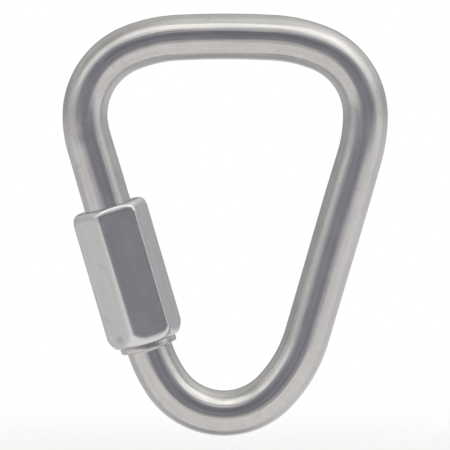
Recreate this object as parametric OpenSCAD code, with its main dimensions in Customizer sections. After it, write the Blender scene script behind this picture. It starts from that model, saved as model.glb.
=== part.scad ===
// Triangular screw link: a round bar bent into a three-cornered loop, open in its left leg,
// where a long hexagonal sleeve nut screws down over both threaded ends and closes it.
// The loop stands in the XZ plane. The origin is the middle of the bar at the crown, the top of
// the loop, where the link hangs. Headings and turns are clockwise as seen from -Y.

/* [Bar] */
// Diameter of the round bar
bar_d = 10; // [9.5:0.25:10.25]

/* [Crown and corners] */
// Centre-line radius of the slight bow along the crown
crown_r = 200; // [150:10:250]
// Turn from the middle of the crown to the end of its bow, in degrees
crown_turn = 3; // [2:0.5:4]
// Centre-line radius where each top corner begins
shoulder_r = 32; // [30:1:34]
// Centre-line radius round each top corner
corner_r = 16; // [15:0.25:17]
// Heading at which the top corners tighten, in degrees
corner_from = 22; // [20:1:24]
// Heading at which the right corner eases off, in degrees
right_corner_to = 91; // [88:1:94]
// Centre-line radius that eases the right corner into its leg
right_ease_r = 35; // [32:1:38]
// Heading at which the left corner eases off, in degrees
left_corner_to = 95; // [92:1:98]
// Centre-line radius that eases the left corner into its leg
left_ease_r = 24; // [22:1:26]

/* [Legs and foot] */
// Tilt of both legs from upright, in degrees
leg_tilt = 16.25; // [16:0.25:16.5]
// Centre-line radius round the foot, the bottom of the loop
foot_r = 15.3; // [15:0.1:15.6]
// Centre-line radius that eases each leg into the foot
foot_ease_r = 30; // [28:1:32]
// Heading at which the foot tightens, in degrees
foot_from = 134; // [132:1:136]
// Heading at which the foot eases off, in degrees
foot_to = 236; // [234:1:238]

/* [Gate] */
// Outer diameter of the threads on the two ends of the bar
thread_d = 12; // [11.8:0.05:12]
// Root diameter of those threads
thread_root_d = 10.5; // [10.4:0.05:10.6]
// Thread pitch
pitch = 1.25; // [1:0.25:1.5]
// Opening between the two threaded ends
gate_gap = 10.5; // [9:0.5:11]
// Length of the lower threaded end that the closed nut grips
lower_grip = 4.5; // [4:0.25:5]
// Length of the upper threaded end
upper_thread = 12.5; // [11:0.5:12.5]
// Diameter of the collar that stops the nut
collar_d = 12.6; // [12.2:0.1:12.8]
// Thickness of the collar
collar_t = 1.2; // [1:0.1:1.3]
// Height of the collar's underside above the end of the foot's bend
collar_foot = -0.5; // [-0.7:0.1:0]

/* [Sleeve nut] */
// Width across the flats of the hexagon
nut_flats = 15; // [14.75:0.25:15.5]
// Length of the nut
nut_len = 31; // [29:0.2:31]
// Turn of the closed nut's front flat towards the inside of the loop, in degrees
nut_turn = 12; // [0:1:30]
// Gap left between the closed nut and the collar
nut_gap = 0.2; // [0.15:0.05:0.3]
// Radius that rounds the nut's upper end
nut_top_r = 1.7; // [1.5:0.1:1.8]
// Radius that rounds the nut's lower end
nut_foot_r = 1.9; // [1.6:0.1:1.9]
// Width and height of the bevel that narrows the six flats at the nut's lower end
nut_bevel = 0.9; // [0.4:0.1:0.9]
nut_bevel_h = 1.6; // [1.2:0.1:2]
// How far the six long edges are turned down, on the radius
nut_edge_cut = 0.2; // [0.1:0.05:0.3]
// Bore of the nut's threaded wall
nut_bore_d = 12.12; // [12.1:0.02:12.2]
// Outer diameter of the nut's threaded wall
nut_wall_d = 12.7; // [12.6:0.05:12.8]

/* [Hidden] */
$fn = 96;
// Radial clearance between the threaded wall and the hexagon around it
wall_clearance = 0.02;
// Chamfer on the tip of each threaded end
tip_chamfer = 0.7;
// Radius that rounds the collar's rim
collar_round = 0.3;
// Width and height of the cone under the collar, where it flares out of the bar
collar_flare = 0.4;
// Depth at which that cone starts inside the bar
flare_sunk = 0.3;
// Length of the cone from the upper thread down to the bar
thread_runout = 1.2;
// Height and width of the thin bands over the joints between the bar's bends
band_rise = 0.05;
band_w = 0.3;
// Marks a straight length in a run
STRAIGHT = 0;

// A run is a list of [radius, turn] bends and [STRAIGHT, length] lengths. A state is the
// [x, z, heading] that it has reached, and heading 0 points along +X.
function step_on(at, step) =
    let (r = step[0], h = at[2], t = step[1])
    r == STRAIGHT ? [at[0] + t * cos(h), at[1] - t * sin(h), h]
    : [at[0] + r * (sin(h + t) - sin(h)), at[1] + r * (cos(h + t) - cos(h)), h + t];
function reached(run, count) = count == 0 ? [0, 0, 0] : step_on(reached(run, count - 1), run[count - 1]);
function end_of(run) = reached(run, len(run));

shoulder = [[crown_r, crown_turn], [shoulder_r, corner_from - crown_turn]];
left_run = concat(shoulder, [
    [corner_r, left_corner_to - corner_from],
    [left_ease_r, 90 + leg_tilt - left_corner_to]
]);
function right_run(leg) = concat(shoulder, [
    [corner_r, right_corner_to - corner_from],
    [right_ease_r, 90 + leg_tilt - right_corner_to],
    [STRAIGHT, leg],
    [foot_ease_r, foot_from - 90 - leg_tilt],
    [foot_r, foot_to - foot_from],
    [foot_ease_r, 270 - leg_tilt - foot_to]
]);

// The left run is mirrored, and ends at the top of the left leg. The right leg's length is the
// one that brings the right run's end onto the left leg's axis.
left_top = [-end_of(left_run)[0], end_of(left_run)[1]];
function off_axis(leg) =
    (end_of(right_run(leg))[0] - left_top[0]) * cos(leg_tilt)
    + (end_of(right_run(leg))[1] - left_top[1]) * sin(leg_tilt);
right_leg = off_axis(0) / sin(2 * leg_tilt);
left_foot = [end_of(right_run(right_leg))[0], end_of(right_run(right_leg))[1]];
left_leg = norm(left_top - left_foot);

// Heights along the left leg, from the end of the foot's bend
collar_top = collar_foot + collar_t;
nut_foot = collar_top + nut_gap;
lower_tip = nut_foot + lower_grip;
upper_tip = lower_tip + gate_gap;
upper_run_out = upper_tip + upper_thread;

// Puts its children on the left leg, with +Z up along the leg's axis
module on_left_leg() {
    translate([left_foot[0], 0, left_foot[1]]) rotate([0, -leg_tilt, 0]) children();
}

module bar_straight(length) {
    rotate([0, 90, 0]) cylinder(d = bar_d, h = length);
}

module bar_bend(radius, turn) {
    translate([0, 0, -radius]) rotate([90, 0, 0]) rotate([0, 0, 90 - turn])
        rotate_extrude(angle = turn) translate([radius, 0]) circle(d = bar_d);
}

// A thin band over the joint of two lengths, which makes them one solid
module joint_band() {
    cylinder(d = bar_d + 2 * band_rise, h = band_w, center = true);
}

module bar_run(run) {
    for (i = [0 : len(run) - 1]) {
        at = reached(run, i);
        translate([at[0], 0, at[1]]) rotate([0, at[2], 0]) {
            if (run[i][0] == STRAIGHT) bar_straight(run[i][1]);
            else bar_bend(run[i][0], run[i][1]);
            rotate([0, 90, 0]) joint_band();
        }
    }
}

// Outline of a ridged wall between two heights, one ridge to each pitch
function ridges(low, high) = [
    for (z = [low : pitch : high - pitch]) each [
        [thread_d / 2, z],
        [thread_d / 2, z + pitch / 8],
        [thread_root_d / 2, z + pitch * 7 / 16],
        [thread_root_d / 2, z + pitch * 11 / 16]
    ]
];

module lower_end() {
    first = collar_top + pitch / 2;
    tip_r = thread_d / 2 - tip_chamfer;
    joint_band();
    rotate_extrude() polygon(concat(
        [[0, collar_top - collar_t / 2], [thread_root_d / 2, collar_top - collar_t / 2]],
        [[thread_root_d / 2, first]],
        ridges(first + pitch / 4, lower_tip - tip_chamfer),
        [[tip_r, lower_tip], [0, lower_tip]]
    ));
}

// A round-rimmed disc that flares out of the bar below it
module collar() {
    rim = collar_d / 2 - collar_round;
    translate([0, 0, collar_foot]) {
        cylinder(r = rim, h = collar_t);
        translate([0, 0, collar_round]) cylinder(d = collar_d, h = collar_t - 2 * collar_round);
        for (z = [collar_round, collar_t - collar_round])
            translate([0, 0, z]) rotate_extrude() translate([rim, 0]) circle(r = collar_round, $fn = 32);
    }
    translate([0, 0, collar_foot - collar_flare - flare_sunk])
        cylinder(
            d1 = bar_d - 2 * flare_sunk, d2 = bar_d + 2 * collar_flare, h = collar_flare + flare_sunk
        );
}

module upper_end() {
    tip_r = thread_d / 2 - tip_chamfer;
    translate([0, 0, left_leg]) joint_band();
    rotate_extrude() polygon(concat(
        [[0, upper_tip], [tip_r, upper_tip]],
        ridges(upper_tip + tip_chamfer, upper_run_out),
        [
            [thread_d / 2, upper_run_out],
            [bar_d / 2, upper_run_out + thread_runout],
            [bar_d / 2, left_leg],
            [0, left_leg]
        ]
    ));
}

module link_body() {
    color([0.68, 0.67, 0.65]) union() {
        bar_run(right_run(right_leg));
        mirror([1, 0, 0]) bar_run(left_run);
        on_left_leg() {
            lower_end();
            collar();
            upper_end();
        }
    }
}

// The closed nut's place: +Z up along the leg from the nut's lower end, +X out through a flat
module at_nut() {
    on_left_leg() translate([0, 0, nut_foot]) rotate([0, 0, nut_turn]) children();
}

module sleeve_nut() {
    corner = nut_flats / sqrt(3);
    beveled = corner - nut_bevel / cos(30);
    round_r = corner - nut_edge_cut;
    color([0.55, 0.56, 0.57]) at_nut() difference() {
        intersection() {
            union() {
                cylinder(r1 = beveled, r2 = corner, h = nut_bevel_h, $fn = 6);
                translate([0, 0, nut_bevel_h])
                    cylinder(r = corner, h = nut_len - nut_bevel_h, $fn = 6);
            }
            union() {
                cylinder(r = round_r - nut_foot_r, h = nut_foot_r);
                translate([0, 0, nut_foot_r])
                    cylinder(r = round_r, h = nut_len - nut_foot_r - nut_top_r);
                translate([0, 0, nut_len - nut_top_r])
                    cylinder(r = round_r - nut_top_r, h = nut_top_r);
                for (end = [[nut_foot_r, nut_foot_r], [nut_len - nut_top_r, nut_top_r]])
                    translate([0, 0, end[0]]) rotate_extrude()
                        translate([round_r - end[1], 0]) circle(r = end[1]);
            }
        }
        translate([0, 0, -1]) cylinder(r = nut_wall_d / 2 + wall_clearance, h = nut_len + 2);
    }
}

// The nut's threaded wall, a plain sleeve that clears the ridges of both ends
module nut_thread() {
    color([0.62, 0.62, 0.62]) at_nut() difference() {
        cylinder(d = nut_wall_d, h = nut_len);
        translate([0, 0, -1]) cylinder(d = nut_bore_d, h = nut_len + 2);
    }
}

link_body();
sleeve_nut();
nut_thread();
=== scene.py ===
"""Triangular screw link: a bent steel bar and the hexagonal sleeve nut that closes it.

Sizes are in millimetres and degrees until a mesh is made. The loop stands in the XZ plane with
its front to -Y, and the origin is the middle of the bar at the crown, the top of the loop.
"""

import math

import bmesh
import bpy
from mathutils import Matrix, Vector


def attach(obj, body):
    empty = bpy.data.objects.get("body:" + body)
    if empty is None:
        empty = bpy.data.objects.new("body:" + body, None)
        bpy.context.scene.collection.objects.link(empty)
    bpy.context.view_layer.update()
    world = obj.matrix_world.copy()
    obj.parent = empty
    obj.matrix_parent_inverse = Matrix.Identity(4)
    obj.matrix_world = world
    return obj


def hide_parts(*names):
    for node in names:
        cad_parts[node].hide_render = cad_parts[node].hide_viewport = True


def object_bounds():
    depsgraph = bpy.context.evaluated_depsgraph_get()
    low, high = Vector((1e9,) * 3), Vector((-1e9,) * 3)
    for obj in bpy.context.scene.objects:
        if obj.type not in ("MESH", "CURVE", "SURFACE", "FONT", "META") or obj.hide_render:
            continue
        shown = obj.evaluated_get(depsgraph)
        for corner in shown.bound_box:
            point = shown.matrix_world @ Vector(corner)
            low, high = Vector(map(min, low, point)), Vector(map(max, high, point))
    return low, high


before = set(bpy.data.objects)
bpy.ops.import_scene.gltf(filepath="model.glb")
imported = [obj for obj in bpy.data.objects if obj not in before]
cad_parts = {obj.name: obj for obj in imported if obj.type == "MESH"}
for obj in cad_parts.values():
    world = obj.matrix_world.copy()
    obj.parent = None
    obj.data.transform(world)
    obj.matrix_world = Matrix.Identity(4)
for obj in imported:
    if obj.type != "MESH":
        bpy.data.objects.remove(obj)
cad_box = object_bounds()
scene = bpy.context.scene
MM = 0.001

# --- The design's sizes -----------------------------------------------------------------------

BAR_R = 5.0
LEG_TILT = 16.25
SHOULDER = [(200.0, 3.0), (32.0, 19.0)]  # (centre-line radius, turn) for each bend
LEFT_RUN = SHOULDER + [(16.0, 73.0), (24.0, 11.25)]
RIGHT_CORNER = SHOULDER + [(16.0, 69.0), (35.0, 15.25)]
FOOT = [(30.0, 27.75), (15.3, 102.0), (30.0, 17.75)]

# Heights along the left leg, from the end of the foot's bend
COLLAR_FOOT, COLLAR_TOP = -0.5, 0.86  # the top all but touches the closed nut
NUT_FOOT, NUT_LEN = 0.9, 31.0
LOWER_TIP, UPPER_TIP = 5.4, 15.9
UPPER_THREAD_END, UPPER_RUN_OUT = 28.1, 29.6

PITCH = 1.25
THREAD_R, ROOT_R, TIP_R = 6.0, 5.25, 5.2
THREAD_CLEARANCE = 0.06
COLLAR_R, COLLAR_FILLET = 6.27, 0.35
COLLAR_ROUND, COLLAR_TOP_ROUND = 0.3, 0.12
COLLAR_RUN_IN = 0.45  # plain length between the collar and the lower thread
TIP_DISH = 0.12  # depth of the dish in the tips' end faces
FOOT_CUT = 0.95  # the collar takes over this far before the end of the foot's bend

NUT_FLAT = 7.5  # half the width across the flats
NUT_TURN = 12.0  # of the closed nut's front flat, towards the inside of the loop
NUT_EDGE_ROUND = 0.9
# The extra rounding of the long edges at the foot, the height where it begins, and the height
# over which it grows
FOOT_EDGE_ROUND, FOOT_EDGE_H, FOOT_EDGE_RISE = 3.7, 2.9, 2.4
# The extra rounding of one worn front edge at the foot, from where it fades out up to the top,
# and the edge's angle from the ring's zero
WORN_EDGE_ROUND, WORN_EDGE_AT = 1.4, 72.0
NUT_CORNER_R = 8.46  # to which the long edges are turned down
NUT_TOP_ROUND = 1.7
TOP_BLEND = 0.45  # width over which a flat runs into the turned top
# How far, and over what height, the flats fall away at the top
NUT_TOP_FALL, NUT_TOP_FALL_H = 0.5, 1.7
# At the foot the hexagon is rounded in to a circle, over a height
NUT_FOOT_R, NUT_FOOT_ROUND = 6.58, 1.9
BORE_MOUTH_R = 6.3  # of the chamfer at each end of the bore
FOOT_ROWS, FOOT_EDGE_ROWS, MIDDLE_ROWS, TOP_ROWS = 18, 8, 8, 26
WEAR_AND_SHEEN_DEPTH = 0.25  # metal is paler, as worn metal and as painted sheen, where this much is rounded off the sharp hexagon

# (distance along the sweep, share of BAR_R) of half the bar's width in the loop's plane. The bends
# draw it in a little, and it swells towards the upper thread.
SWELL_RUN = [
    (0.0, 1.04),
    (7.0, 1.03),
    (16.0, 1.016),
    (23.0, 0.985),
    (33.0, 0.978),
    (45.0, 1.0),
    (73.0, 1.0),
    (85.0, 0.99),
    (95.0, 0.975),
    (107.0, 0.985),
    (123.0, 1.008),
    (151.0, 0.995),
    (173.0, 0.999),
]

DEEPEST_SWELL = 1.04  # the same share at most, from front to back

SIDES = 96  # points round the bar
RING_STEP = 0.6  # distance between rings along the bar
WELD, THIN = 1e-6, 1e-7  # metres between points that merge, and of an edge that goes


def smooth(x):
    """An S-shaped step from 0 to 1 as x goes from 0 to 1."""
    x = min(max(x, 0.0), 1.0)
    return x * x * (3 - 2 * x)


def table_value(table, x):
    """The value at x of a list of (x, value) points, eased from one point to the next."""
    if x <= table[0][0]:
        return table[0][1]
    for (x0, v0), (x1, v1) in zip(table, table[1:]):
        if x <= x1:
            return v0 + (v1 - v0) * smooth((x - x0) / (x1 - x0))
    return table[-1][1]


def soft_min(a, b, width):
    """The smaller of a and b, rounded over where they are within width of each other."""
    h = max(width - abs(a - b), 0.0) / width
    return min(a, b) - h * h * width / 4


# --- The bar's centre line --------------------------------------------------------------------


def heading_vector(h):
    """The direction of travel at heading h. Heading 0 is along +X, and turns are clockwise."""
    return Vector((math.cos(math.radians(h)), 0, -math.sin(math.radians(h))))


def outward_vector(h):
    """The direction out of the loop at heading h."""
    return Vector((math.sin(math.radians(h)), 0, math.cos(math.radians(h))))


def walk(start, heading, bends):
    """Places along a run of bends, as (position, heading, distance from the start)."""
    at, h, gone = Vector(start), heading, 0.0
    places = [(at.copy(), h, gone)]
    for radius, turn in bends:
        length = radius * math.radians(turn)
        steps = max(2, round(length / RING_STEP))
        hub = at - outward_vector(h) * radius
        for i in range(1, steps + 1):
            hi = h + turn * i / steps
            places.append((hub + outward_vector(hi) * radius, hi, gone + length * i / steps))
        at, h, gone = hub + outward_vector(h + turn) * radius, h + turn, gone + length
    return places


def mirrored(places):
    """The same run on the other side, walked backwards so that it ends where it began."""
    total = places[-1][2]
    return [(Vector((-p.x, 0, p.z)), -h, total - gone) for p, h, gone in reversed(places)]


left_half = mirrored(walk((0, 0, 0), 0.0, LEFT_RUN))
corner = walk((0, 0, 0), 0.0, RIGHT_CORNER)
leg_h = corner[-1][1]

# The right leg is as long as it takes for the foot's bend to end on the left leg's axis.
foot_from_leg = walk(corner[-1][0], leg_h, FOOT)
left_normal = outward_vector(-leg_h)
gap = (foot_from_leg[-1][0] - left_half[0][0]).dot(left_normal)
right_leg = -gap / heading_vector(leg_h).dot(left_normal)
leg_steps = round(right_leg / RING_STEP)
leg_marks = [right_leg * i / leg_steps for i in range(leg_steps + 1)]
leg = [(corner[-1][0] + heading_vector(leg_h) * gone, leg_h, gone) for gone in leg_marks]
foot = walk(leg[-1][0], leg_h, FOOT)
LEFT_FOOT = foot[-1][0]
LEG_UP = Vector((-math.sin(math.radians(LEG_TILT)), 0, math.cos(math.radians(LEG_TILT))))
LEG_OUT = Vector((-math.cos(math.radians(LEG_TILT)), 0, -math.sin(math.radians(LEG_TILT))))
FRONT = Vector((0, -1, 0))
left_leg = (left_half[0][0] - LEFT_FOOT).length
foot_length = foot[-1][2]
foot = [place for place in foot if place[2] < foot_length - FOOT_CUT]


def joined(*runs):
    """Runs end to end, each without its first place, with one distance along them all."""
    out, gone = list(runs[0]), runs[0][-1][2]
    for run in runs[1:]:
        out += [(p, h, gone + d) for p, h, d in run[1:]]
        gone += run[-1][2]
    return out


heights = [UPPER_RUN_OUT + (left_leg - UPPER_RUN_OUT) * i / 24 for i in range(25)]
above_thread = [(LEFT_FOOT + LEG_UP * t, -leg_h, t - UPPER_RUN_OUT) for t in heights]
bar_run = joined(above_thread, left_half, corner, leg, foot)
# Distances along the sweep to the middles of the crown and of the foot
CROWN_AT = left_leg - UPPER_RUN_OUT + left_half[-1][2]
FOOT_AT = bar_run[-1][2] - foot_length / 2


# --- Meshes -----------------------------------------------------------------------------------


class Shell:
    """Collects rows of points and the faces between them, with a straightened place for each.

    The straightened place is where the point would be if the bar were straight along Z. The
    materials use it, so that scratches run along the bar and round its bends.
    """

    def __init__(self):
        self.points, self.flat, self.wear, self.faces = [], [], [], []

    def add(self, point, flat, wear=0.0):
        self.points.append(point * MM)
        self.flat.append(flat)
        self.wear.append(wear)
        return len(self.points) - 1

    def strip(self, low, high):
        """Faces between two closed rows of the same length."""
        n = len(low)
        for j in range(n):
            k = (j + 1) % n
            self.faces.append((low[j], low[k], high[k], high[j]))

    def fan(self, row, middle):
        for j in range(len(row)):
            self.faces.append((row[j], row[(j + 1) % len(row)], middle))

    def object(self, name, sharp=38):
        mesh = bpy.data.meshes.new(name)
        mesh.from_pydata(self.points, [], self.faces)
        store = mesh.attributes.new("straight", "FLOAT_VECTOR", "POINT")
        store.data.foreach_set("vector", [v for p in self.flat for v in p])
        # A share per point of worn metal and painted sheen, where the steel is made paler
        mesh.attributes.new("wear", "FLOAT", "POINT").data.foreach_set("value", self.wear)
        edit = bmesh.new()
        edit.from_mesh(mesh)
        bmesh.ops.remove_doubles(edit, verts=edit.verts, dist=WELD)
        bmesh.ops.dissolve_degenerate(edit, edges=edit.edges, dist=THIN)
        bmesh.ops.recalc_face_normals(edit, faces=edit.faces)
        loose = [e for e in edit.edges if not e.is_manifold]
        if loose:
            print(f"{name}: {len(loose)} open edges")
        edit.to_mesh(mesh)
        edit.free()
        mesh.shade_smooth()
        mesh.set_sharp_from_angle(angle=math.radians(sharp))
        obj = bpy.data.objects.new(name, mesh)
        scene.collection.objects.link(obj)
        return obj


def ring(shell, centre, out, radius_out, radius_front, along, angles):
    """A closed row round centre. Its angle 0 is outward in the loop's plane, and 90 the front."""
    row = []
    for a in angles:
        c, s = math.cos(a), math.sin(a)
        row.append(
            shell.add(
                centre + out * (radius_out * c) + FRONT * (radius_front * s),
                (radius_out * c, radius_front * s, along),
            )
        )
    return row


def leg_ring(shell, height, radius, along, angles):
    return ring(shell, LEFT_FOOT + LEG_UP * height, LEG_OUT, radius, radius, along, angles)


# Phase in a pitch and height between root and crest of a thread's rows
THREAD_ROWS = [(0.0, 1.0), (0.125, 1.0), (0.28, 0.5), (0.4375, 0.0), (0.6875, 0.0), (0.845, 0.5)]


def thread(shell, low, high, radius_at, along_at, angles):
    """A right-hand threaded wall between two heights. Its first and last rows are plain rings.

    radius_at(height, share) gives the radius where the thread stands at that share of its depth.
    The helix keeps one phase for both ends of the bar and the nut, so that they mesh.
    """
    n, per_turn = len(angles), len(THREAD_ROWS)
    first = math.floor(low / PITCH) - 1
    turns = math.ceil(high / PITCH) + 1 - first
    rows = []
    for i in range(turns * per_turn + 1):
        phase, share = THREAD_ROWS[i % per_turn]
        row = []
        for a in angles:
            height = (first + i // per_turn + phase + a / math.tau) * PITCH
            height = min(max(height, low), high)
            r = radius_at(height, share)
            c, s = math.cos(a), math.sin(a)
            row.append(
                shell.add(
                    LEFT_FOOT + LEG_UP * height + LEG_OUT * (r * c) + FRONT * (r * s),
                    (r * c, r * s, along_at(height)),
                )
            )
        rows.append(row)
    for i in range(len(rows) - 1):
        for j in range(n - 1):
            shell.faces.append((rows[i][j], rows[i][j + 1], rows[i + 1][j + 1], rows[i + 1][j]))
        if i + 1 + per_turn < len(rows):  # the seam steps up by one turn
            low_row, high_row = rows[i + per_turn], rows[i + 1 + per_turn]
            shell.faces.append((rows[i][n - 1], low_row[0], high_row[0], rows[i + 1][n - 1]))


def around(count):
    return [math.tau * j / count for j in range(count)]


# --- The bar ----------------------------------------------------------------------------------


def make_bar():
    """The bar: the upper threaded end, the sweep, the collar and the lower threaded end."""
    shell, angles = Shell(), around(SIDES)

    def outer(height, share):
        """The radius of either end's thread, with its chamfered tip and its run-out."""
        r = ROOT_R + (THREAD_R - ROOT_R) * share
        if height > (LOWER_TIP + UPPER_TIP) / 2:
            fade = (UPPER_RUN_OUT - height) / (UPPER_RUN_OUT - UPPER_THREAD_END)
            tip = height - UPPER_TIP
            return max(min(r, TIP_R + tip, TIP_R + (THREAD_R - TIP_R) * fade), TIP_R)
        start = height - COLLAR_TOP - COLLAR_RUN_IN
        return max(min(r, TIP_R + (LOWER_TIP - height), TIP_R + max(start, 0.0)), TIP_R)

    # From the upper tip, up the left leg, over the crown, down the right leg and round the foot
    thread(shell, UPPER_TIP, UPPER_RUN_OUT, outer, lambda t: t - UPPER_RUN_OUT, angles)
    last = None
    for place, h, along in bar_run:
        wide = BAR_R * table_value(SWELL_RUN, along)
        deep = BAR_R * max(1.0, min(table_value(SWELL_RUN, along), DEEPEST_SWELL))
        row = ring(shell, place, outward_vector(h), wide, deep, along, angles)
        if last:
            shell.strip(last, row)
        last = row

    # The collar, as (height, radius): a fillet, the two rounded edges, and the top
    base = bar_run[-1][2] + foot_length - foot[-1][2]
    profile = []
    for i in range(7):
        a = math.radians(90 * i / 6)
        profile.append(
            (
                COLLAR_FOOT - COLLAR_FILLET + COLLAR_FILLET * math.sin(a),
                BAR_R + COLLAR_FILLET * (1 - math.cos(a)),
            )
        )
    for i in range(13):
        a = math.radians(180 * i / 12 - 90)
        r = COLLAR_ROUND if i < 7 else COLLAR_TOP_ROUND
        middle = COLLAR_FOOT + r if i < 7 else COLLAR_TOP - r
        profile.append((middle + r * math.sin(a), COLLAR_R - r + r * math.cos(a)))
    thread_from = COLLAR_TOP + 0.001  # just clear of the collar, so that the rows stay apart
    profile += [(COLLAR_TOP, TIP_R + 0.15), (thread_from, TIP_R)]
    for height, radius in profile:
        row = leg_ring(shell, height, radius, base + height, angles)
        shell.strip(last, row)
        last = row
    thread(shell, thread_from, LOWER_TIP, outer, lambda t: base + t, angles)

    # The tips' end faces, slightly dished
    for height, dish in ((LOWER_TIP, -TIP_DISH), (UPPER_TIP, TIP_DISH)):
        last = None
        for radius_share, dish_share in ((1.0, 0.0), (0.72, 0.0), (0.3, 0.8)):
            row = leg_ring(shell, height + dish * dish_share, TIP_R * radius_share, height, angles)
            if last:
                shell.strip(last, row)
            last = row
        middle = shell.add(LEFT_FOOT + LEG_UP * (height + dish), (0, 0, height))
        shell.fan(last, middle)
    return shell.object("bent_bar")


# --- The nut ----------------------------------------------------------------------------------


def nut_angles():
    """Angles round the nut, close together at its six edges."""
    near_edge = (0.7, 1.4, 2.1, 3, 4, 5.4, 7, 9)
    offsets = [-18, -15, -12, -9, -6, 0, 6, 9, 12, 15, 18, 30]
    offsets += [30 - d for d in near_edge] + [30 + d for d in near_edge]
    flat_at = 90 + NUT_TURN
    return sorted(math.radians((flat_at + 60 * k + d) % 360) for k in range(6) for d in offsets)


def off_flat(a):
    """The angle in degrees from the middle of the flat that angle a crosses, -30 to 30."""
    return (math.degrees(a) - 90 - NUT_TURN + 30) % 60 - 30


def edge_rounding(a, up):
    """The radius that rounds the nut's long edge nearest to angle a, at a height above its foot."""
    rounding = NUT_EDGE_ROUND + FOOT_EDGE_ROUND * smooth((FOOT_EDGE_H - up) / FOOT_EDGE_RISE)
    from_worn = (math.degrees(a) - WORN_EDGE_AT + 180) % 360 - 180
    if abs(from_worn) < 30:
        rounding += WORN_EDGE_ROUND * (1 - up / NUT_LEN)
    return rounding


def hexagon_radius(a, rounding):
    """The radius of the hexagon with rounded edges, at an angle from the ring's zero."""
    off = off_flat(a)
    tangent = math.degrees(math.atan((NUT_FLAT - rounding) * math.tan(math.radians(30)) / NUT_FLAT))
    if abs(off) <= tangent:
        return NUT_FLAT / math.cos(math.radians(off))
    hub = (NUT_FLAT - rounding) / math.cos(math.radians(30))
    beta = math.radians(30 - abs(off))
    return hub * math.cos(beta) + math.sqrt(rounding**2 - (hub * math.sin(beta)) ** 2)


def turned_radius(from_top):
    """The radius to which the nut's top is turned down, at a distance below it."""
    above = NUT_TOP_ROUND - from_top
    if above <= 0:
        return NUT_CORNER_R - above
    return NUT_CORNER_R - NUT_TOP_ROUND + math.sqrt(NUT_TOP_ROUND**2 - above**2)


def nut_radius(a, up):
    """The nut's outer radius at an angle and a height above its foot."""
    from_top = NUT_LEN - up
    fall = NUT_TOP_FALL * max(1 - from_top / NUT_TOP_FALL_H, 0) ** 2
    hexagon = hexagon_radius(a, edge_rounding(a, up)) - fall
    radius = soft_min(hexagon, turned_radius(from_top), TOP_BLEND)
    if up < NUT_FOOT_ROUND:
        share = math.sqrt(1 - (1 - up / NUT_FOOT_ROUND) ** 2)
        radius = NUT_FOOT_R + (radius - NUT_FOOT_R) * share
    return radius


def make_nut():
    """The nut: its outside from the foot up, its two ends, and its threaded bore."""
    shell, angles = Shell(), nut_angles()
    top = NUT_FOOT + NUT_LEN

    # Heights of the rows, close together where the ends curve
    turn = math.pi / 2
    ups = [NUT_FOOT_ROUND * (1 - math.cos(turn * i / FOOT_ROWS)) for i in range(FOOT_ROWS + 1)]
    step = (FOOT_EDGE_H - NUT_FOOT_ROUND) / FOOT_EDGE_ROWS
    ups += [NUT_FOOT_ROUND + step * i for i in range(1, FOOT_EDGE_ROWS + 1)]
    top_zone = NUT_TOP_ROUND * 1.5
    step = (NUT_LEN - top_zone - FOOT_EDGE_H) / MIDDLE_ROWS
    ups += [FOOT_EDGE_H + step * i for i in range(1, MIDDLE_ROWS)]
    for i in range(TOP_ROWS + 1):
        ups.append(NUT_LEN - top_zone * (1 - math.sin(turn * i / TOP_ROWS)))
    last = None
    for up in ups:
        row = []
        for a in angles:
            r = nut_radius(a, up)
            c, s = math.cos(a), math.sin(a)
            place = LEFT_FOOT + LEG_UP * (NUT_FOOT + up) + LEG_OUT * (r * c) + FRONT * (r * s)
            # How far the hexagon is rounded off here; the steel is paler there, as worn metal and
            # as painted sheen
            cut = NUT_FLAT / math.cos(math.radians(off_flat(a))) - r
            row.append(shell.add(place, (r * c, r * s, up), smooth(cut / WEAR_AND_SHEEN_DEPTH)))
        if last:
            shell.strip(last, row)
        else:
            first = row
        last = row

    bore_low = leg_ring(shell, NUT_FOOT, BORE_MOUTH_R, 0, angles)
    bore_high = leg_ring(shell, top, BORE_MOUTH_R, NUT_LEN, angles)
    shell.strip(first, bore_low)
    shell.strip(last, bore_high)

    def inner(height, share):
        """The radius of the bore's thread, with a chamfered mouth at each end."""
        r = ROOT_R + (THREAD_R - ROOT_R) * share + THREAD_CLEARANCE
        mouth = min(height - NUT_FOOT, top - height)
        return min(max(r, BORE_MOUTH_R - mouth), BORE_MOUTH_R)

    thread(shell, NUT_FOOT, top, inner, lambda t: t - NUT_FOOT, angles)
    return shell.object("hexagonal_sleeve_nut")


# --- Materials --------------------------------------------------------------------------------


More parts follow.
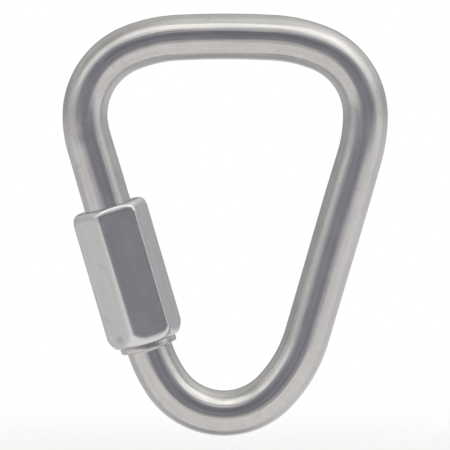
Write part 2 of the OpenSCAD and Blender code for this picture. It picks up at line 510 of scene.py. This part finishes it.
class Nodes:
    """Shorthand for building one node tree."""

    def __init__(self, tree):
        self.tree = tree
        tree.nodes.clear()

    def new(self, kind, **settings):
        node = self.tree.nodes.new(kind)
        for key, value in settings.items():
            setattr(node, key, value)
        return node

    def feed(self, socket, value):
        if isinstance(value, bpy.types.NodeSocket):
            self.tree.links.new(value, socket)
        else:
            socket.default_value = value

    def math(self, operation, a, b=0.0, c=0.0, clamp=False):
        node = self.new("ShaderNodeMath", operation=operation, use_clamp=clamp)
        for socket, value in zip(node.inputs, (a, b, c)):
            self.feed(socket, value)
        return node.outputs[0]

    def step(self, value, low, high, to_low=0.0, to_high=1.0):
        """An S-shaped step from to_low to to_high as value goes from low to high."""
        node = self.new("ShaderNodeMapRange", interpolation_type="SMOOTHSTEP")
        for socket, v in zip(node.inputs, (value, low, high, to_low, to_high)):
            self.feed(socket, v)
        return node.outputs[0]

    def mix(self, share, a, b):
        node = self.new("ShaderNodeMix", data_type="RGBA")
        self.feed(node.inputs[0], share)
        self.feed(node.inputs[6], a)
        self.feed(node.inputs[7], b)
        return node.outputs[2]

    def mix_value(self, share, a, b):
        node = self.new("ShaderNodeMix", data_type="FLOAT")
        for socket, value in zip(node.inputs, (share, None, a, b)):
            if value is not None:
                self.feed(socket, value)
        return node.outputs[0]

    def stretched(self, vector, scale):
        node = self.new("ShaderNodeVectorMath", operation="MULTIPLY")
        self.feed(node.inputs[0], vector)
        node.inputs[1].default_value = scale
        return node.outputs[0]

    def noise(self, vector, scale, detail=3.0, roughness=0.55):
        node = self.new("ShaderNodeTexNoise")
        self.feed(node.inputs["Vector"], vector)
        node.inputs["Scale"].default_value = scale
        node.inputs["Detail"].default_value = detail
        node.inputs["Roughness"].default_value = roughness
        return node.outputs["Fac"]

    def specks(self, vector, scale, size, kept):
        """Round spots, 1 in a spot and 0 elsewhere, in a share of the cells of a random grid."""
        node = self.new("ShaderNodeTexVoronoi", feature="F1")
        self.feed(node.inputs["Vector"], vector)
        node.inputs["Scale"].default_value = scale
        pick = self.new("ShaderNodeSeparateColor")
        self.feed(pick.inputs[0], node.outputs["Color"])
        spot = self.step(node.outputs["Distance"], size * 0.3, size, 1.0, 0.0)
        return self.math("MULTIPLY", spot, self.math("LESS_THAN", pick.outputs[0], kept))

    def bump(self, height, strength, distance, normal=None):
        node = self.new("ShaderNodeBump")
        node.inputs["Strength"].default_value = strength
        node.inputs["Distance"].default_value = distance
        self.feed(node.inputs["Height"], height)
        if normal is not None:
            self.feed(node.inputs["Normal"], normal)
        return node.outputs["Normal"]


def shade(colour, share):
    """A colour made darker or lighter by a share."""
    return tuple(share * v for v in colour[:3]) + (1.0,)


def steel(
    name,
    light,
    dark,
    rough,
    scratch,
    smudge,
    wave,
    line,
    inner_rough=0.0,
    gloss_at=(),
    stain_at=None,
):
    """Satin steel. Its scratches run along the straightened Z, and smudges and specks lie over it.

    light and dark are the two ends of its tone, and scratch and smudge are added to the roughness
    rough. wave and line are the heights in metres of its long waves and fine lines. It is glossier
    round each distance in gloss_at, rougher on the inside of the loop by inner_rough, and paler,
    as worn metal and as painted sheen, where the mesh is rounded off. A faint stain lies round
    stain_at.
    """
    material = bpy.data.materials.new(name)
    material.use_nodes = True
    n = Nodes(material.node_tree)
    output = n.new("ShaderNodeOutputMaterial")
    shader = n.new("ShaderNodeBsdfPrincipled")
    n.tree.links.new(shader.outputs[0], output.inputs[0])
    shader.inputs["Metallic"].default_value = 1.0
    place = n.new("ShaderNodeAttribute", attribute_name="straight").outputs["Vector"]
    wear = n.new("ShaderNodeAttribute", attribute_name="wear").outputs["Fac"]

    # Patterns, with their scales per millimetre of the straightened place
    hairlines = n.noise(n.stretched(place, (3.6, 3.6, 0.1)), scale=1.6, detail=4.0, roughness=0.62)
    streaks = n.noise(n.stretched(place, (0.8, 0.8, 0.045)), scale=1.0, detail=3.0)
    lines = n.noise(n.stretched(place, (1.5, 1.5, 0.03)), scale=1.0, detail=2.0)
    clouds = n.noise(place, scale=0.16, detail=3.0)
    blots = n.step(n.noise(place, scale=0.5, detail=4.0, roughness=0.62), 0.57, 0.72)
    grain = n.noise(n.stretched(place, (1, 1, 0.5)), scale=2.2, detail=4.0, roughness=0.7)
    waves = n.noise(n.stretched(place, (0.16, 0.16, 0.07)), scale=1.0, detail=1.0)
    large_pits = n.specks(place, scale=0.24, size=0.06, kept=0.35)
    small_pits = n.specks(place, scale=0.6, size=0.1, kept=0.06)
    pits = n.math("MAXIMUM", large_pits, small_pits)

    # Colour: tone, then blots, the stain, paler rounded edges (worn metal and painted sheen) and
    # pits over it
    tone = n.math("MULTIPLY_ADD", clouds, 0.35, n.math("MULTIPLY", streaks, 0.35))
    tone = n.math("MULTIPLY_ADD", grain, 0.3, tone)
    colour = n.mix(n.step(tone, 0.4, 0.6), dark, light)
    colour = n.mix(n.math("MULTIPLY", blots, 0.5), colour, shade(dark, 0.86))
    if stain_at:
        apart = n.new("ShaderNodeVectorMath", operation="DISTANCE")
        n.feed(apart.inputs[0], place)
        apart.inputs[1].default_value = stain_at
        stain = n.math("MULTIPLY", n.step(apart.outputs["Value"], 0.2, 1.7, 1.0, 0.0), grain)
        colour = n.mix(stain, colour, shade(dark, 0.6))
    # Paler where the nut is rounded off: worn metal and painted sheen
    colour = n.mix(n.math("MULTIPLY", wear, 0.75), colour, shade(light, 1.28))
    colour = n.mix(n.math("MULTIPLY", pits, 0.6), colour, shade(dark, 0.5))
    n.feed(shader.inputs["Base Color"], colour)

    # Roughness
    split = n.new("ShaderNodeSeparateXYZ")
    n.feed(split.inputs[0], place)
    outward, _, along = split.outputs
    roughness = n.math("MULTIPLY_ADD", n.step(hairlines, 0.35, 0.7), scratch, rough)
    roughness = n.math("MULTIPLY_ADD", n.step(clouds, 0.42, 0.68), smudge, roughness)
    roughness = n.math("MULTIPLY_ADD", blots, 0.05, roughness)
    roughness = n.math("ADD", roughness, n.step(outward, -3.9, -2.7, inner_rough, 0.0))
    for middle in gloss_at:  # full to 12 mm away, and gone by 36 mm
        away = n.math("ABSOLUTE", n.math("SUBTRACT", along, middle))
        roughness = n.math("ADD", roughness, n.step(away, 12, 36, -0.1, 0.0))
    roughness = n.math("MULTIPLY_ADD", pits, 0.2, roughness, clamp=True)
    n.feed(shader.inputs["Roughness"], roughness)

    # Relief, with its heights in metres
    normal = n.bump(waves, strength=0.5, distance=wave)
    normal = n.bump(streaks, strength=1.0, distance=wave * 1.5, normal=normal)
    normal = n.bump(lines, strength=1.0, distance=line, normal=normal)
    normal = n.bump(hairlines, strength=0.25, distance=0.000008, normal=normal)
    normal = n.bump(grain, strength=0.25, distance=0.000008, normal=normal)
    normal = n.bump(pits, strength=0.5, distance=-0.00002, normal=normal)
    n.feed(shader.inputs["Normal"], normal)
    return material


bar = make_bar()
bar.data.materials.append(
    steel(
        "satin_steel_bar",
        (0.6, 0.588, 0.579, 1),
        (0.534, 0.523, 0.517, 1),
        rough=0.145,
        scratch=0.05,
        smudge=0.03,
        wave=0.00003,
        line=0.00004,
        inner_rough=0.16,
        gloss_at=(CROWN_AT, FOOT_AT),
    )
)
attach(bar, "link")
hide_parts("link_body")

nut = make_nut()
nut.data.materials.append(
    steel(
        "satin_steel_nut",
        (0.601, 0.597, 0.59, 1),
        (0.564, 0.56, 0.554, 1),
        rough=0.195,
        scratch=0.05,
        smudge=0.03,
        wave=0.00001,
        line=0.000004,
        stain_at=(5.6, 5.0, 2.3),
    )
)
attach(nut, "sleeve_nut")
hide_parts("sleeve_nut", "nut_thread")

# --- Floor ------------------------------------------------------------------------------------

FLOOR_DROP = 0.03  # metres below the lowest point of the link
FLOOR_R = 0.34
# Distances from the middle over which it fades out to the white round it
FLOOR_FADE_FROM, FLOOR_FADE_TO = FLOOR_R * 0.45, FLOOR_R * 0.97
FLOOR_DARK, FLOOR_LIGHT = (0.86, 0.86, 0.855, 1), (0.9, 0.9, 0.895, 1)
FLOOR_MOTTLE = 60.0  # mottles in a metre


def make_floor():
    """A plain pale disc under the link. The steel doesn't reflect it."""
    edit = bmesh.new()
    bmesh.ops.create_circle(edit, cap_ends=True, segments=96, radius=FLOOR_R)
    mesh = bpy.data.meshes.new("floor")
    edit.to_mesh(mesh)
    edit.free()
    obj = bpy.data.objects.new("floor", mesh)
    obj.location = (0, 0, cad_box[0][2] - FLOOR_DROP)
    scene.collection.objects.link(obj)
    material = bpy.data.materials.new("pale_floor")
    material.use_nodes = True
    n = Nodes(material.node_tree)
    output = n.new("ShaderNodeOutputMaterial")
    shader = n.new("ShaderNodeBsdfPrincipled")
    n.tree.links.new(shader.outputs[0], output.inputs[0])
    shader.inputs["Roughness"].default_value = 0.9
    place = n.new("ShaderNodeTexCoord").outputs["Object"]
    mottle = n.noise(place, scale=FLOOR_MOTTLE, detail=3.0)
    n.feed(shader.inputs["Base Color"], n.mix(mottle, FLOOR_DARK, FLOOR_LIGHT))
    length = n.new("ShaderNodeVectorMath", operation="LENGTH")
    n.feed(length.inputs[0], place)
    shown = n.step(length.outputs["Value"], FLOOR_FADE_FROM, FLOOR_FADE_TO, 1.0, 0.0)
    n.feed(shader.inputs["Alpha"], shown)
    mesh.materials.append(material)
    obj.visible_glossy = False


make_floor()

# --- Light ------------------------------------------------------------------------------------

# The surroundings that the steel reflects. A direction's side is in degrees round from straight
# ahead of the link's front, towards +X, and its rise is in degrees up from level.

# Soft lights in the front half: (direction, degrees from it where the light is full, and where
# it ends, strength)
FRONT_LIGHTS = (
    ((0.0, -0.5, 0.866), 2, 13, 0.3),
    ((0.5, -0.32, 0.8), 4, 28, 0.3),
    ((-0.3, -0.38, 0.87), 4, 20, 0.27),
    ((-0.75, -0.37, 0.55), 3, 24, 0.42),
    ((0.78, -0.22, 0.58), 4, 30, 0.3),
)
TOP_LIGHT = ((0.36, 0.08, 0.93), 5, 38, 0.17)

# Rounded rectangles of directions: (middle side, half width, middle rise, half height upwards,
# half height downwards, and the shares of those where the edge begins and ends)
STRIP_LIGHT, STRIP_STRENGTH = (20, 80, 62, 13, 13, 0.3, 1.3), 0.4
BACK_DIM, BACK_DIM_AMOUNT = (0, 30, 6, 24, 24, 0.3, 1.25), 0.5
AHEAD, AHEAD_DIM_AMOUNT = (0, 56, 12, 26.5, 26, 0.58, 1.27), 0.612
# The same, and how much darker each one is
SIDES_DIM = (
    ((-96, 40, 44, 40, 40, 0.2, 1.2), 0.36),
    ((-80, 40, -4, 14, 14, 0.3, 1.4), 0.28),
    ((82, 26, 10, 14, 14, 0.2, 1.3), 0.16),
)
AHEAD_DETAIL = (
    ((12, 30, 56, 6, 6, 0.2, 1.25), 0.08),
    ((0, 32, 16, 14, 12, 0.3, 1.3), 0.27),
    ((0, 15, -13, 12, 12, 0.5, 1.3), 0.28),
    ((40, 22, -3, 14, 10, 0.2, 1.3), 0.31),
    ((-46, 14, -4, 8, 8, 0.2, 1.3), 0.16),
)

LOW_TINT, HIGH_TINT = (1.01, 0.993, 0.985, 1), (1.01, 1.004, 0.982, 1)
AHEAD_TINT, AHEAD_RIGHT_TINT = (0.978, 0.976, 1.095, 1), (0.955, 0.993, 1.105, 1)
LOW_BACK_TINT = (0.99, 0.993, 1.025, 1)


def make_world():
    """Soft studio surroundings: pale all round, and dim straight ahead of the front and the back.

    The camera itself sees them as plain white.
    """
    world = bpy.data.worlds.new("soft_studio")
    world.use_nodes = True
    n = Nodes(world.node_tree)
    direction = n.new("ShaderNodeTexCoord").outputs["Generated"]
    split = n.new("ShaderNodeSeparateXYZ")
    n.feed(split.inputs[0], direction)
    x, y, z = split.outputs
    degrees = 180 / math.pi
    side = n.math("MULTIPLY", n.math("ARCTAN2", x, n.math("MULTIPLY", y, -1.0)), degrees)
    back_side = n.math("MULTIPLY", n.math("ARCTAN2", x, y), degrees)
    rise = n.math("MULTIPLY", n.math("ARCSINE", z), degrees)

    def lobe(toward, inner, outer, amount):
        """A round soft patch of light, from full at inner degrees to none at outer degrees."""
        dot = n.new("ShaderNodeVectorMath", operation="DOT_PRODUCT")
        n.feed(dot.inputs[0], direction)
        dot.inputs[1].default_value = Vector(toward).normalized()
        low, high = math.cos(math.radians(outer)), math.cos(math.radians(inner))
        return n.step(dot.outputs["Value"], low, high, 0.0, amount)

    def outside(zone, across=side):
        """1 outside a rounded rectangle and 0 inside it."""
        side_at, side_half, rise_at, half_up, half_down, inner, outer = zone
        u = n.math("ABSOLUTE", n.math("DIVIDE", n.math("SUBTRACT", across, side_at), side_half))
        above = n.math("DIVIDE", n.math("SUBTRACT", rise, rise_at), half_up)
        below = n.math("DIVIDE", n.math("SUBTRACT", rise_at, rise), half_down)
        v = n.math("MAXIMUM", above, below)
        far = n.math("ADD", n.math("POWER", u, 3), n.math("POWER", v, 3))
        return n.step(n.math("POWER", far, 1 / 3), inner, outer)

    def darken(value, share, amount):
        """value where share is 1, and less by amount where it is 0."""
        return n.math("MULTIPLY", value, n.math("MULTIPLY_ADD", share, amount, 1 - amount))

    def from_rise(at):
        return n.math("ABSOLUTE", n.math("SUBTRACT", rise, at))

    # The front half: a level, an overhead strip light and its brighter spots, and dimmer sides
    level = n.step(rise, -10, 40, 0.94, 0.85)
    strip = n.math("SUBTRACT", 1.0, outside(STRIP_LIGHT))
    level = n.math("MULTIPLY_ADD", strip, STRIP_STRENGTH, level)
    for light in FRONT_LIGHTS:
        level = n.math("ADD", level, lobe(*light))
    for zone, amount in SIDES_DIM:
        level = darken(level, outside(zone), amount)

    # Behind: paler to the right and up and round 28 degrees down, dimmer low in the middle and
    # just above level, and with a dim room straight ahead of the back
    behind = n.step(x, -0.55, 0.6, 0.64, 0.77)
    upper_right = n.math("MULTIPLY", n.step(x, 0.05, 0.7), n.step(rise, 25, 65))
    behind = n.math("MULTIPLY_ADD", upper_right, 0.2, behind)
    middle = n.step(n.math("ABSOLUTE", x), 0.1, 0.6, 1.0, 0.0)
    low_middle = n.math("MULTIPLY", middle, n.step(rise, -56, -40, 1.0, 0.0))
    behind = n.math("MULTIPLY_ADD", low_middle, -0.17, behind)
    behind = n.math("MULTIPLY_ADD", n.step(from_rise(-28), 4, 22, 1.0, 0.0), 0.07, behind)
    behind = darken(behind, n.step(from_rise(5), 4, 16), 0.23)
    behind = darken(behind, outside(BACK_DIM, back_side), BACK_DIM_AMOUNT)
    level = n.mix_value(n.step(y, 0.03, 0.34), level, behind)
    level = n.math("ADD", level, lobe(*TOP_LIGHT))

    # Straight ahead of the front: the dim room behind the camera
    ahead = outside(AHEAD)
    level = darken(level, ahead, AHEAD_DIM_AMOUNT)
    for zone, amount in AHEAD_DETAIL:
        level = darken(level, outside(zone), amount)

    tint = n.mix(n.step(rise, -15, 30), LOW_TINT, HIGH_TINT)
    ahead_tint = n.mix(n.step(side, 12, 34), AHEAD_TINT, AHEAD_RIGHT_TINT)
    tint = n.mix(ahead, ahead_tint, tint)
    low_behind = n.math("MULTIPLY", n.step(y, 0.1, 0.4), n.step(rise, 8, 28, 1.0, 0.0))
    tint = n.mix(low_behind, tint, LOW_BACK_TINT)

    scaled = n.new("ShaderNodeVectorMath", operation="SCALE")
    n.feed(scaled.inputs[0], tint)
    n.feed(scaled.inputs["Scale"], level)
    seen = n.new("ShaderNodeLightPath").outputs["Is Camera Ray"]
    colour = n.mix(seen, scaled.outputs[0], (1, 1, 1, 1))
    background = n.new("ShaderNodeBackground")
    n.feed(background.inputs["Color"], colour)
    output = n.new("ShaderNodeOutputWorld")
    n.tree.links.new(background.outputs[0], output.inputs[0])
    scene.world = world


def make_softbox(name, place, size, power):
    """A soft light on the link and the floor. The steel doesn't reflect it."""
    light = bpy.data.lights.new(name, "AREA")
    light.shape = "RECTANGLE"
    light.size, light.size_y = size
    light.energy = power
    obj = bpy.data.objects.new(name, light)
    obj.location = place
    aim = LINK_MIDDLE - Vector(place)
    obj.rotation_euler = aim.to_track_quat("-Z", "Y").to_euler()
    obj.visible_glossy = False
    scene.collection.objects.link(obj)


LINK_MIDDLE = Vector((0, 0, -0.05))
make_world()
make_softbox("overhead_softbox", place=(0.16, -0.2, 0.62), size=(0.3, 0.16), power=1.2)

# --- Camera -----------------------------------------------------------------------------------

VIEW_SIZE = 0.09895  # height and width of the view at the loop's plane
VIEW_CENTRE = Vector((-0.00004, 0, -0.0415))
CAMERA_DISTANCE = 1.3
LOOK_DOWN = 4.8  # degrees below level
SENSOR = 36.0
camera_data = bpy.data.cameras.new("camera")
camera_data.sensor_width = SENSOR
camera_data.lens = SENSOR * CAMERA_DISTANCE / VIEW_SIZE
camera_data.clip_start, camera_data.clip_end = 0.01, 10.0
camera = bpy.data.objects.new("camera", camera_data)
from_link = Vector((0, -math.cos(math.radians(LOOK_DOWN)), math.sin(math.radians(LOOK_DOWN))))
camera.location = VIEW_CENTRE + CAMERA_DISTANCE * from_link
camera.rotation_euler = (math.radians(90 - LOOK_DOWN), 0, 0)
scene.collection.objects.link(camera)
scene.camera = camera

scene.view_settings.view_transform = "Standard"
scene.view_settings.look = "None"

bpy.context.view_layer.update()
